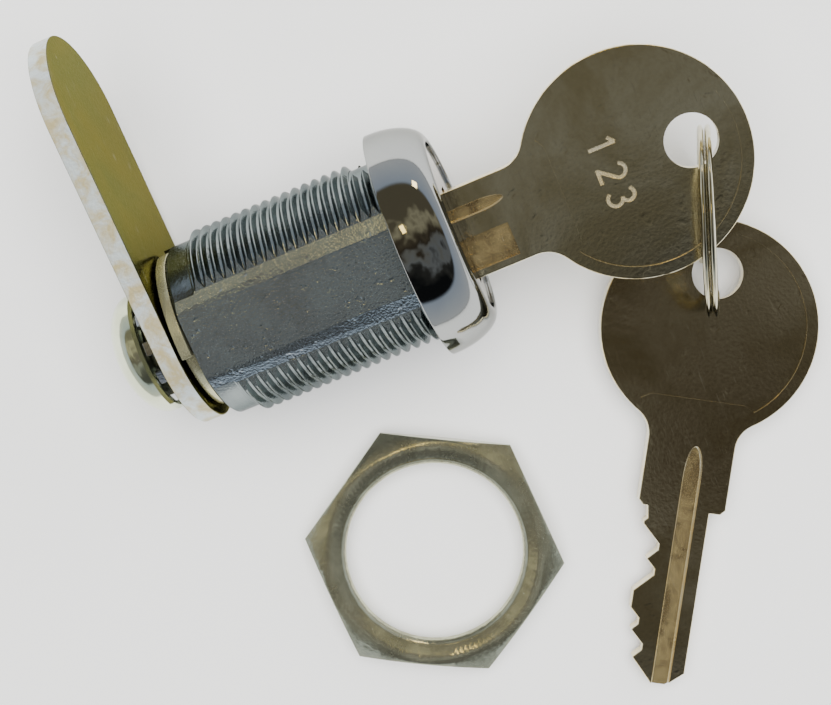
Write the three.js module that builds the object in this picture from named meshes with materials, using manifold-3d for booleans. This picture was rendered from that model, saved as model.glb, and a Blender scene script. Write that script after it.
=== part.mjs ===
// A keyed cam lock with its nut, two keys and a split ring, laid out on a flat surface.
//
// Millimetres, +Z up. The lock's axis runs along Y, with the keyhole at the -Y end. Inside the
// lock's own group the flats of the barrel face +Z and -Z and the cam points along +X. The whole
// lock lies on the rim of its bezel and on the hub of its cam, so its rear end dips, and it is
// rolled a little about its axis. The origin is on the surface that everything lies on, under
// the middle of the whole arrangement.

import * as THREE from 'three';
import { mergeVertices } from 'three/addons/utils/BufferGeometryUtils.js';
import Module from 'manifold-3d';

const wasm = await Module();
wasm.setup();

const { degToRad } = THREE.MathUtils;

// ---------------------------------------------------------------- driving dimensions

// Where the lock lies: the centre of the bezel's rear face, the dip of the rear end, and the
// roll about the lock's axis.
const lockPosition = new THREE.Vector3(10.24, 2.58, 11.305);
const lockTilt = degToRad(-6.69);
const lockRoll = degToRad(-9);

// Bezel: the flange that stays in front of the panel.
const bezelRadius = 11.38;
const bezelHeight = 5.3;
const bezelCylinder = 0.2;
const bezelLipRadius = 8.9;
const recessRadius = 8.6;
const recessDepth = 2.1;

// Barrel: 3/4 inch thread of 24 turns per inch, flattened on two sides.
const threadRadius = 9.5;
const threadDepth = 0.62;
const threadPitch = 25.4 / 24;
const threadTurns = 18;
const threadStart = 0.4;
const barrelLength = 21.9;
const barrelTailRadius = 8.8;
const flatDistance = 8;
const flatHalfWidth = 3.2;
const ledgeDistance = 7.5;
const ledgeInner = 4.7;
const boreRadius = 6.6;
const runout = { inner: 8.8, length: 2.6, halfWidth: 3.4 };

// Plug: the cylinder that the key turns.
const plugRadius = 6.4;
const plugHeadRadius = 8.35;
const plugHeadFront = -5.0;
const plugHeadThickness = 1.7;
const plugLength = 21.75;
const studWidth = 8;
const studEnd = 25.2;
const screwHole = { radius: 3.15, start: 17 };

// Keyway, off the lock's axis towards the notched side of the blade.
const keyOffset = -0.95;
const keywayHalfHeight = 1.25;
const keywayEnd = 14.8;
const keywaySide = { notched: 3.95, back: 3.3 };
const mouth = { halfWidth: 4.9, depth: 1.3 };

// Disc tumblers and their springs.
const tumblerCount = 5;
const tumblerFirst = 0.2;
const tumblerPitch = 2.65;
const tumblerThickness = 0.9;
const tumblerRadius = 6.25;
const tumblerHalfWidth = 2.6;
const tumblerWindow = { low: -5.25, high: 3.0, halfHeight: 1.4 };
const tumblerLug = { low: 0, high: 1, top: 4.1 };
const springPocket = { low: -3.4, high: 2.2, bottom: 2.9, top: 4.3 };
const tumblerSlotClearance = 0.2;
const tumblerGroove = { radius: 7.3, halfWidth: 3.1, start: -0.9, end: 11.9 };

// Retaining wafer, which snaps into a groove in the housing and keeps the plug in.
const retainer = { y: 15.95, thickness: 0.9, halfWidth: 2.5, low: -7.2, high: -2.7 };
const retainerPocketTop = -0.6;
const retainerGroove = { radius: 7.5, halfLength: 0.8 };

// Stop washer, cam, lock washer and screw on the plug's square stud.
const stopWasher = { start: 22.1, end: 23.1, radius: 7.35, lugRadius: 8.45 };
const stopLug = { from: degToRad(-5), to: degToRad(95) };
const stopRim = { inner: 7.65, height: 0.9, from: degToRad(187), to: degToRad(353) };
const camFront = 23.4;
const camThickness = 2;
const camHalfWidth = 8.4;
const camReach = 31.7;
const squareHole = studWidth + 0.6;
const lockWasher = { start: 25.7, end: 26.8, inner: 3.3, root: 4.7, tip: 6, teeth: 12 };
const screw = { shank: 2.85, end: 18.4, seat: 27.1, headRadius: 6.15, rim: 0.8, top: 31.1 };
const screwRecess = { length: 5.4, width: 1.1, depth: 1.7 };

// Nut.
const nutCentre = new THREE.Vector3(-19.66, 12.28, 0);
const nutTurn = degToRad(32.4);
const nutAcrossFlats = 23.4;
const nutThickness = 3;
const nutBoreRadius = 9.15;
const nutThreadRadius = 9.65;
const nutSink = { radius: 10.6, depth: 0.55 };

// Keys. A key's own frame has its origin in the middle of the bow, +Y towards the tip and the
// notches on the -X side.
const keyThickness = 2;
const bowRadius = 11.1;
const bowFillet = 3;
const shankHalfWidth = 4.5;
const shoulder = 18.95;
const bladeBack = 2.9;
const bladeTip = 37.4;
const cutFirst = 23.1;
const cutPitch = 2.65;
const cutHeights = [1.75, 1.8, 3.65, 2.65, 1.9];
const cutFlat = 0.3;
const cutLimit = 3.65;
const keyHole = { radius: 2.6, y: -5.55 };
const coin = { radius: 9.9, edge: 7.45, cornerHalf: 4.8, sideHalf: 5.8, depth: 0.25 };
const narrowGroove = { x: 2.05, halfWidth: 0.62, start: 12.75, depth: 0.5 };
const wideGroove = { from: -3.75, to: -0.45, start: 13.3, depth: 0.35 };
const backGroove = { x: 0.55, halfWidth: 0.95, start: 12.2, depth: 0.6 };
const insertedKeyY = -22.9;
const looseKeyPosition = new THREE.Vector3(-8.81, -22.42, 2.45);
const looseKeyTurn = degToRad(59.7);
const looseKeyPitch = degToRad(-2.2);

// Split ring: two turns of flattened wire, standing on edge and leaning towards the lock.
const ringCentre = new THREE.Vector3(1.41, -25.17, 9.4);
const ringTurn = degToRad(-20.1);
const ringLean = degToRad(-10);
const ringRadius = 8.9;
const ringWire = { radial: 0.55, axial: 0.31 };
const ringPitch = 0.72;
const ringTurns = 1.92;

// ---------------------------------------------------------------- materials

function material(color, roughness, metalness = 1) {
  return new THREE.MeshStandardMaterial({ color, roughness, metalness });
}
const chrome = material('#b9babb', 0.12);
const plugChrome = material('#a9a79d', 0.1);
const brass = material('#b08d4a', 0.35);
const springSteel = material('#8f9296', 0.3);
const yellowZinc = material('#8a8262', 0.35);
const washerZinc = material('#a8a272', 0.35);
const nutZinc = material('#85816b', 0.45);
const nickel = material('#9a9583', 0.2);
const ringSteel = material('#a5a28f', 0.18);

// ---------------------------------------------------------------- solids

/** Turns a closed three.js geometry into a solid that can be cut and joined. */
function solid(geometry) {
  const bare = geometry.clone();
  bare.deleteAttribute('normal');
  bare.deleteAttribute('uv');
  const merged = mergeVertices(bare, 1e-4);
  const index = merged.index.array;
  const triangles = [];
  for (let i = 0; i < index.length; i += 3) {
    const [a, b, c] = [index[i], index[i + 1], index[i + 2]];
    if (a !== b && b !== c && c !== a) triangles.push(a, b, c);
  }
  return new wasm.Manifold(new wasm.Mesh({
    numProp: 3,
    vertProperties: Float32Array.from(merged.attributes.position.array),
    triVerts: Uint32Array.from(triangles),
  }));
}

/** Turns a solid back into a three.js geometry. */
function geometryOf(body) {
  const { vertProperties, triVerts } = body.getMesh();
  const geometry = new THREE.BufferGeometry();
  geometry.setAttribute('position', new THREE.BufferAttribute(vertProperties, 3));
  geometry.setIndex(new THREE.BufferAttribute(triVerts, 1));
  geometry.computeVertexNormals();
  return geometry;
}

function join(first, ...others) {
  return others.reduce((body, other) => body.add(other), first);
}

function cut(first, ...others) {
  return others.reduce((body, other) => body.subtract(other), first);
}

/** A box between two corners. */
function block([x0, y0, z0], [x1, y1, z1]) {
  const geometry = new THREE.BoxGeometry(x1 - x0, y1 - y0, z1 - z0);
  return solid(geometry.translate((x0 + x1) / 2, (y0 + y1) / 2, (z0 + z1) / 2));
}

/** A closed profile of [radius, y] points turned about the Y axis. */
function turned(profile, segments) {
  const points = profile.map(([radius, y]) => new THREE.Vector2(radius, y));
  return solid(new THREE.LatheGeometry([...points, points[0]], segments));
}

/** A shape drawn in X and Z, run along Y from y0 to y1. */
function acrossAxis(shape, y0, y1, curveSegments = 16) {
  const options = { depth: y1 - y0, bevelEnabled: false, curveSegments };
  return solid(new THREE.ExtrudeGeometry(shape, options).rotateX(Math.PI / 2).translate(0, y1, 0));
}

/** A shape drawn in X and Y, run along Z from z0 to z1. */
function upright(shape, z0, z1, curveSegments = 16) {
  const options = { depth: z1 - z0, bevelEnabled: false, curveSegments };
  return solid(new THREE.ExtrudeGeometry(shape, options).translate(0, 0, z0));
}

function polygon(points) {
  return new THREE.Shape(points.map(([x, y]) => new THREE.Vector2(x, y)));
}

function rectangle(x0, y0, x1, y1) {
  return polygon([[x0, y0], [x1, y0], [x1, y1], [x0, y1]]);
}

function square(width) {
  return rectangle(-width / 2, -width / 2, width / 2, width / 2);
}

/** A helix about the Z axis, from the middle of its length. */
class Helix extends THREE.Curve {
  constructor(radius, pitch, turns, phase = 0) {
    super();
    Object.assign(this, { radius, pitch, turns, phase });
  }

  getPoint(t, target = new THREE.Vector3()) {
    const angle = this.phase + t * this.turns * 2 * Math.PI;
    const z = (t - 0.5) * this.turns * this.pitch;
    return target.set(this.radius * Math.cos(angle), this.radius * Math.sin(angle), z);
  }
}

/** Wire with an elliptical section along a helix; `sides` points go round the wire. */
function coil({ radius, pitch, turns, phase }, { radial, axial }, sides, stepsPerTurn) {
  const section = new THREE.Shape();
  for (let i = 0; i < sides; i += 1) {
    const angle = (i + 0.5) * 2 * Math.PI / sides;
    const point = [axial * Math.cos(angle), radial * Math.sin(angle)];
    if (i === 0) section.moveTo(...point);
    else section.lineTo(...point);
  }
  section.closePath();
  return new THREE.ExtrudeGeometry(section, {
    steps: Math.round(turns * stepsPerTurn),
    extrudePath: new Helix(radius, pitch, turns, phase),
    bevelEnabled: false,
  });
}

/** Adds a named mesh to a group. */
function place(group, name, shape, surface) {
  const geometry = shape.isBufferGeometry ? shape : geometryOf(shape);
  const mesh = new THREE.Mesh(geometry, surface);
  mesh.name = name;
  group.add(mesh);
  return mesh;
}

// ---------------------------------------------------------------- housing

/** The bezel's rounded front corner, from the cylinder to the lip, as [radius, y] points. */
function bezelCorner(steps) {
  const points = [];
  for (let i = 0; i <= steps; i += 1) {
    const angle = (i / steps) * Math.PI / 2;
    const radius = bezelLipRadius + (bezelRadius - bezelLipRadius) * Math.sin(angle);
    points.push([radius, -bezelCylinder - (bezelHeight - bezelCylinder) * Math.cos(angle)]);
  }
  return points;
}

function threadProfile() {
  const points = [];
  for (let turn = 0; turn < threadTurns; turn += 1) {
    const y = threadStart + turn * threadPitch;
    points.push([threadRadius - threadDepth, y], [threadRadius, y + threadPitch / 2]);
  }
  return points;
}

function housing() {
  const threadEnd = threadStart + threadTurns * threadPitch;
  const groove = retainerGroove;
  let body = turned([
    [boreRadius, -bezelHeight + recessDepth],
    [recessRadius, -bezelHeight + recessDepth],
    [recessRadius, -bezelHeight],
    ...bezelCorner(6),
    [bezelRadius, 0],
    [threadRadius - threadDepth, 0],
    ...threadProfile(),
    [barrelTailRadius, threadEnd],
    [barrelTailRadius, barrelLength],
    [boreRadius, barrelLength],
    [boreRadius, retainer.y + groove.halfLength],
    [groove.radius, retainer.y + groove.halfLength],
    [groove.radius, retainer.y - groove.halfLength],
    [boreRadius, retainer.y - groove.halfLength],
  ], 48);

  const beyond = threadRadius + 1;
  const flat = acrossAxis(polygon([
    [-beyond, ledgeDistance], [-ledgeInner, ledgeDistance],
    [-flatHalfWidth, flatDistance], [flatHalfWidth, flatDistance],
    [ledgeInner, ledgeDistance], [beyond, ledgeDistance],
    [beyond, beyond], [-beyond, beyond],
  ]), 0, barrelLength + 1);
  body = cut(body, flat, flat.rotate([0, 180, 0]));

  // The thread runs out before the bezel on the side that the cam points to.
  const relief = cut(
    block([5, 0, -runout.halfWidth], [beyond, runout.length, runout.halfWidth]),
    turned([[0, -1], [runout.inner, -1], [runout.inner, 4], [0, 4]], 48),
  );

  // Grooves that the tumblers' ends move into, for the two places where the key comes out.
  const { halfWidth, start, end } = tumblerGroove;
  const grooveCross = join(
    block([-beyond, start - 1, -halfWidth], [beyond, end + 1, halfWidth]),
    block([-halfWidth, start - 1, -beyond], [halfWidth, end + 1, beyond]),
  );
  const tumblerSpace = turned([
    [0, start], [tumblerGroove.radius, start], [tumblerGroove.radius, end], [0, end],
  ], 48).intersect(grooveCross);
  body = cut(body, relief, tumblerSpace);

  // Half rim on the rear face that the stop washer's lug runs up against.
  const rim = new THREE.Shape();
  rim.absarc(0, 0, barrelTailRadius - 0.05, stopRim.from, stopRim.to, false);
  rim.absarc(0, 0, stopRim.inner, stopRim.to, stopRim.from, true);
  const rimBody = acrossAxis(rim, barrelLength - 0.5, barrelLength + stopRim.height, 20);
  const rimFlat = block([-beyond, 0, -beyond], [beyond, 30, -flatDistance]);
  return join(body, cut(rimBody, rimFlat, flat.rotate([0, 180, 0])));
}

// ---------------------------------------------------------------- plug

function tumblerY(index) {
  return tumblerFirst + index * tumblerPitch;
}

function plug() {
  const headBack = plugHeadFront + plugHeadThickness;
  let body = turned([
    [0, plugHeadFront], [plugHeadRadius - 0.15, plugHeadFront],
    [plugHeadRadius, plugHeadFront + 0.15], [plugHeadRadius, headBack],
    [plugRadius, headBack], [plugRadius, plugLength], [0, plugLength],
  ], 40);
  body = join(body, acrossAxis(square(studWidth), plugLength - 1, studEnd));

  const front = plugHeadFront - 1;
  const shoulderSlot = block(
    [keyOffset - mouth.halfWidth, front, -keywayHalfHeight],
    [keyOffset + mouth.halfWidth, plugHeadFront + mouth.depth, keywayHalfHeight],
  );
  const keyway = block(
    [keyOffset - keywaySide.notched, front, -keywayHalfHeight],
    [keyOffset + keywaySide.back, keywayEnd, keywayHalfHeight],
  );
  const threadHole = turned([
    [0, screwHole.start], [screwHole.radius, screwHole.start + 1],
    [screwHole.radius, studEnd + 1], [0, studEnd + 1],
  ], 24);
  const halfPocket = retainer.thickness / 2 + 0.2;
  const retainerPocket = block(
    [-retainer.halfWidth - 0.25, retainer.y - halfPocket, -plugRadius - 2],
    [retainer.halfWidth + 0.25, retainer.y + halfPocket, retainerPocketTop],
  );
  body = cut(body, shoulderSlot, keyway, threadHole, retainerPocket);

  const halfSlot = tumblerThickness / 2 + tumblerSlotClearance;
  for (let i = 0; i < tumblerCount; i += 1) {
    const y = tumblerY(i);
    const side = tumblerHalfWidth + tumblerSlotClearance;
    const slot = block(
      [-plugRadius - 1, y - halfSlot, -side],
      [plugRadius + 1, y + halfSlot, side],
    );
    const pocket = block(
      [springPocket.low, y - halfSlot, 0],
      [springPocket.high, y + halfSlot, springPocket.top],
    );
    body = cut(body, slot, pocket);
  }

  // Ward: a rib that runs in the key's narrow groove.
  const ward = block(
    [keyOffset + narrowGroove.x - 0.32, plugHeadFront + mouth.depth + 0.2, 0.8],
    [keyOffset + narrowGroove.x + 0.32, tumblerY(0) - halfSlot, keywayHalfHeight + 0.2],
  );
  return join(body, ward);
}

// ---------------------------------------------------------------- pieces inside the plug

function tumbler(y) {
  const halfAngle = Math.asin(tumblerHalfWidth / tumblerRadius);
  const shape = new THREE.Shape();
  shape.absarc(0, 0, tumblerRadius, -halfAngle, halfAngle, false);
  shape.lineTo(tumblerLug.high, tumblerHalfWidth);
  shape.lineTo(tumblerLug.high, tumblerLug.top);
  shape.lineTo(tumblerLug.low, tumblerLug.top);
  shape.lineTo(tumblerLug.low, tumblerHalfWidth);
  shape.absarc(0, 0, tumblerRadius, Math.PI - halfAngle, Math.PI + halfAngle, false);
  shape.closePath();
  const { low, high, halfHeight } = tumblerWindow;
  shape.holes.push(rectangle(low, -halfHeight, high, halfHeight));
  return acrossAxis(shape, y - tumblerThickness / 2, y + tumblerThickness / 2, 8);
}

/** A small coil spring between two X positions, in the tumbler's spring pocket. */
function tumblerSpring(y) {
  const [start, end] = [springPocket.low + 0.15, tumblerLug.low - 0.15];
  const wire = 0.1;
  const turns = 4;
  const pitch = (end - start - 2 * wire) / turns;
  const geometry = coil({ radius: 0.4, pitch, turns }, { radial: wire, axial: wire }, 5, 7);
  const z = (springPocket.bottom + springPocket.top) / 2;
  return geometry.rotateY(Math.PI / 2).translate((start + end) / 2, y, z);
}

function retainingWafer() {
  const { y, thickness, halfWidth, low, high } = retainer;
  const corner = Math.sqrt(low ** 2 - halfWidth ** 2);
  const shape = new THREE.Shape();
  shape.moveTo(halfWidth, high);
  shape.lineTo(-halfWidth, high);
  shape.lineTo(-halfWidth, -corner);
  const halfAngle = Math.asin(halfWidth / -low);
  shape.absarc(0, 0, -low, -Math.PI / 2 - halfAngle, -Math.PI / 2 + halfAngle, false);
  shape.closePath();
  return acrossAxis(shape, y - thickness / 2, y + thickness / 2, 8);
}

function retainingSpring() {
  const [bottom, top] = [retainer.high + 0.15, retainerPocketTop - 0.15];
  const wire = 0.1;
  const turns = 4;
  const pitch = (top - bottom - 2 * wire) / turns;
  const geometry = coil({ radius: 0.4, pitch, turns }, { radial: wire, axial: wire }, 5, 7);
  return geometry.translate(0, retainer.y, (bottom + top) / 2);
}

// ---------------------------------------------------------------- pieces on the stud

function stopWasherBody() {
  const { radius, lugRadius, start, end } = stopWasher;
  const shape = new THREE.Shape();
  shape.absarc(0, 0, lugRadius, stopLug.from, stopLug.to, false);
  shape.absarc(0, 0, radius, stopLug.to, stopLug.from + 2 * Math.PI, false);
  shape.closePath();
  shape.holes.push(square(squareHole));
  return acrossAxis(shape, start, end, 28);
}

function cam() {
  const shape = new THREE.Shape();
  shape.absarc(0, 0, camHalfWidth, Math.PI / 2, 3 * Math.PI / 2, false);
  shape.absarc(camReach - camHalfWidth, 0, camHalfWidth, -Math.PI / 2, Math.PI / 2, false);
  shape.closePath();
  shape.holes.push(square(squareHole));
  return acrossAxis(shape, camFront, camFront + camThickness, 24);
}

function toothedWasher() {
  const { start, end, inner, root, tip, teeth } = lockWasher;
  const shape = new THREE.Shape();
  for (let i = 0; i < teeth; i += 1) {
    const corners = [[0, root], [0.3, root], [0.38, tip], [0.82, tip], [0.9, root]];
    for (const [part, radius] of corners) {
      const angle = (i + part) * 2 * Math.PI / teeth;
      const point = [radius * Math.cos(angle), radius * Math.sin(angle)];
      if (i === 0 && part === 0) shape.moveTo(...point);
      else shape.lineTo(...point);
    }
  }
  shape.closePath();
  const hole = new THREE.Path();
  hole.absarc(0, 0, inner, 0, 2 * Math.PI, true);
  shape.holes.push(hole);
  return acrossAxis(shape, start, end, 12);
}

function camScrew() {
  const { shank, end, seat, headRadius, rim, top } = screw;
  const dome = [];
  const steps = 7;
  for (let i = 1; i < steps; i += 1) {
    const angle = (i / steps) * Math.PI / 2;
    dome.push([headRadius * Math.cos(angle), seat + rim + (top - seat - rim) * Math.sin(angle)]);
  }
  const body = turned([
    [0, end], [shank - 0.4, end], [shank, end + 0.4], [shank, seat],
    [headRadius - 0.25, seat], [headRadius, seat + 0.25], [headRadius, seat + rim],
    ...dome, [0, top],
  ], 32);
  const { length, width, depth } = screwRecess;
  const slot = block([-length / 2, top - depth, -width / 2], [length / 2, top + 1, width / 2]);
  return cut(body, slot, slot.rotate([0, 90, 0]));
}

// ---------------------------------------------------------------- nut

function nut() {
  const half = nutAcrossFlats / 2;
  const corner = half / Math.cos(Math.PI / 6);
  const corners = [];
  for (let i = 0; i < 6; i += 1) {
    const angle = nutTurn + (i + 0.5) * Math.PI / 3;
    corners.push([corner * Math.cos(angle), corner * Math.sin(angle)]);
  }
  // Turned about Y first, then stood up, so its axis is along Z.
  const drop = (corner - half + 0.3) * Math.tan(degToRad(30));
  const chamfered = turned([
    [0, 0], [half - 0.3, 0], [corner, drop], [corner, nutThickness - drop],
    [half - 0.3, nutThickness], [0, nutThickness],
  ], 48).rotate([90, 0, 0]);
  const { radius, depth } = nutSink;
  const middle = nutThickness / 2;
  const rise = threadPitch / 2;
  const bore = turned([
    [0, -1], [radius + 1, -1], [radius + 1, -0.001], [radius, 0],
    [nutThreadRadius, depth],
    [nutBoreRadius, middle - rise], [nutThreadRadius, middle], [nutBoreRadius, middle + rise],
    [nutThreadRadius, nutThickness - depth],
    [radius, nutThickness], [radius + 1, nutThickness + 0.001],
    [radius + 1, nutThickness + 1], [0, nutThickness + 1],
  ], 48).rotate([90, 0, 0]);
  return cut(upright(polygon(corners), 0, nutThickness).intersect(chamfered), bore);
}

// ---------------------------------------------------------------- keys

/** The notched edge of the blade from shoulder to tip, as [x, y] points with x negative. */
function bitting() {
  const points = [[-3.5, shoulder]];
  const cuts = cutHeights.map((height, i) => ({ height, y: cutFirst + i * cutPitch }));
  let previous = { height: 3.3, y: shoulder + 1 };
  for (const current of cuts) {
    const gap = current.y - previous.y - 2 * cutFlat;
    const climb = Math.min((gap + current.height - previous.height) / 2, cutLimit - previous.height);
    const fall = previous.height + climb - current.height;
    points.push([-previous.height, previous.y + cutFlat]);
    points.push([-previous.height - climb, previous.y + cutFlat + climb]);
    if (fall > 0) points.push([-previous.height - climb, current.y - cutFlat - fall]);
    points.push([-current.height, current.y - cutFlat]);
    previous = current;
  }
  const rise = 0.85;
  points.push([-previous.height, previous.y + cutFlat]);
  points.push([-previous.height - rise, previous.y + cutFlat + rise]);
  points.push([-0.4, bladeTip]);
  return points.filter(([x, y], i) => {
    if (i === 0) return true;
    return Math.hypot(x - points[i - 1][0], y - points[i - 1][1]) > 0.01;
  });
}

function keyOutline() {
  const shape = new THREE.Shape();
  const filletX = shankHalfWidth + bowFillet;
  const filletY = Math.sqrt((bowRadius + bowFillet) ** 2 - filletX ** 2);
  const meet = Math.atan2(filletY, filletX);
  shape.absarc(0, 0, bowRadius, Math.PI - meet, 2 * Math.PI + meet, false);
  shape.absarc(filletX, filletY, bowFillet, Math.PI + meet, Math.PI, true);
  shape.lineTo(shankHalfWidth, shoulder);
  shape.lineTo(bladeBack, shoulder);
  shape.lineTo(bladeBack, bladeTip - 1.5);
  shape.lineTo(1.1, bladeTip);
  for (const [x, y] of bitting().reverse()) shape.lineTo(x, y);
  shape.lineTo(-shankHalfWidth, shoulder);
  shape.absarc(-filletX, filletY, bowFillet, 0, -meet, true);
  shape.closePath();
  const hole = new THREE.Path();
  hole.absarc(0, keyHole.y, keyHole.radius, 0, 2 * Math.PI, true);
  shape.holes.push(hole);
  return shape;
}

/** The coined recess of the bow: a disc cut off straight towards the shank. */
function coinShape() {
  const { radius, edge, cornerHalf, sideHalf } = coin;
  const start = Math.acos(sideHalf / radius);
  const shape = new THREE.Shape();
  shape.absarc(0, 0, radius, Math.PI - start, 2 * Math.PI + start, false);
  shape.lineTo(cornerHalf, edge);
  shape.lineTo(-cornerHalf, edge);
  shape.closePath();
  return shape;
}

/** A groove with a round end, open at the tip. */
function grooveShape({ x, halfWidth, start }) {
  const shape = new THREE.Shape();
  shape.absarc(x, start + halfWidth, halfWidth, Math.PI, 2 * Math.PI, false);
  shape.lineTo(x + halfWidth, bladeTip + 1);
  shape.lineTo(x - halfWidth, bladeTip + 1);
  shape.closePath();
  return shape;
}

function key() {
  const half = keyThickness / 2;
  const above = half + 1;
  const wide = rectangle(wideGroove.from, wideGroove.start, wideGroove.to, bladeTip + 1);
  return cut(
    upright(keyOutline(), -half, half, 20),
    upright(coinShape(), half - coin.depth, above, 20),
    upright(coinShape(), -above, -half + coin.depth, 20),
    upright(grooveShape(narrowGroove), half - narrowGroove.depth, above, 8),
    upright(wide, half - wideGroove.depth, above),
    upright(grooveShape(backGroove), -above, -half + backGroove.depth, 8),
  );
}

// ---------------------------------------------------------------- assembly

const group = new THREE.Group();

const lock = new THREE.Group();
lock.position.copy(lockPosition);
lock.rotation.set(lockTilt, lockRoll, 0);
group.add(lock);

place(lock, 'housing', housing(), chrome);
place(lock, 'plug', plug(), plugChrome);
for (let i = 0; i < tumblerCount; i += 1) {
  place(lock, `disc_tumbler_${i + 1}`, tumbler(tumblerY(i)), brass);
  place(lock, `tumbler_spring_${i + 1}`, tumblerSpring(tumblerY(i)), springSteel);
}
place(lock, 'retaining_wafer', retainingWafer(), brass);
place(lock, 'retaining_spring', retainingSpring(), springSteel);
place(lock, 'stop_washer', stopWasherBody(), washerZinc);
place(lock, 'cam', cam(), yellowZinc);
place(lock, 'lock_washer', toothedWasher(), springSteel);
place(lock, 'cam_screw', camScrew(), chrome);

const insertedKey = place(lock, 'key_in_lock', key(), nickel);
insertedKey.position.set(keyOffset, insertedKeyY, 0);

const looseKey = place(group, 'loose_key', key(), nickel);
looseKey.position.copy(looseKeyPosition);
looseKey.rotation.set(looseKeyPitch, Math.PI, looseKeyTurn, 'ZXY');

const wireShape = { radius: ringRadius, pitch: ringPitch, turns: ringTurns, phase: degToRad(245) };
const ring = place(group, 'key_ring', coil(wireShape, ringWire, 8, 32), ringSteel);
ring.position.copy(ringCentre);
ring.rotation.set(Math.PI / 2 + ringLean, 0, ringTurn, 'ZXY');

const panelNut = place(group, 'panel_nut', nut(), nutZinc);
panelNut.position.copy(nutCentre);

export default group;
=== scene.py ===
"""A keyed cam lock with its panel nut, two keys and a split ring, dressed for a still picture.

Sizes are in millimetres while a piece is being made. Each piece is turned into metres and set in
its place once it is finished.
"""

import logging
import math
from dataclasses import dataclass, field, replace
from enum import Enum
from typing import Iterable, Optional, Sequence

import bpy
from mathutils import Euler, Matrix, Vector

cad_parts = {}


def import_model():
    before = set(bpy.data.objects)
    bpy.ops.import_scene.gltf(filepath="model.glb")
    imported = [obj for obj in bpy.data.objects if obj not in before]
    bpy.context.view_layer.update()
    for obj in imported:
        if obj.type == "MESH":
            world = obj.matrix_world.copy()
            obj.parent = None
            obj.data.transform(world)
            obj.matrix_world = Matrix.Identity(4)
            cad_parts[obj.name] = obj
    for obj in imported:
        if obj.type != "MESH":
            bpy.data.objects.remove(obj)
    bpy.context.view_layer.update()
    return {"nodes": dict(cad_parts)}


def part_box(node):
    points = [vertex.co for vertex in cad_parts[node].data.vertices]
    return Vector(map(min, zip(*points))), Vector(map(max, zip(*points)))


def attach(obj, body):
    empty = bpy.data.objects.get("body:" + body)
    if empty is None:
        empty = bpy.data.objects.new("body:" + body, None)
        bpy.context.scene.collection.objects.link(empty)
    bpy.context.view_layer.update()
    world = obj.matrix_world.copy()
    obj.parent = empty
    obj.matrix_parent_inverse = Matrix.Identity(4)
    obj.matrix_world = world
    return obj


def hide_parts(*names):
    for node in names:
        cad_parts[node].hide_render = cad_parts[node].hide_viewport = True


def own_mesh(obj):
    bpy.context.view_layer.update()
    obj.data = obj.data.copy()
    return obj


LOG = logging.getLogger("cam_lock")

Point = tuple[float, float]
Colour = tuple[float, float, float]
MM = 0.001


def turn_deg(x: float, y: float, z: float, order: str = "XYZ") -> Matrix:
    """A rotation matrix from three angles in degrees, the first letter of `order` turned first."""
    angles = Euler((math.radians(x), math.radians(y), math.radians(z)), order)
    return angles.to_matrix().to_4x4()


# ---------------------------------------------------------------- where things lie

LOCK_PLACE = Matrix.Translation((10.24, 2.58, 11.305)) @ turn_deg(-6.69, 0, 0) @ turn_deg(0, -9, 0)
LOOSE_KEY_PLACE = (
    Matrix.Translation((-8.81, -22.42, 2.45)) @ turn_deg(0, 0, 59.7) @ turn_deg(-2.2, 0, 0)
    @ turn_deg(0, 180, 0)
)
KEY_IN_LOCK_PLACE = LOCK_PLACE @ Matrix.Translation((-0.95, -22.9, 0))
RING_PLACE = Matrix.Translation((1.41, -25.17, 9.4)) @ turn_deg(0, 0, -20.1) @ turn_deg(80, 0, 0)
NUT_PLACE = Matrix.Translation((-19.66, 12.28, 0))


# ---------------------------------------------------------------- hand tools


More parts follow.
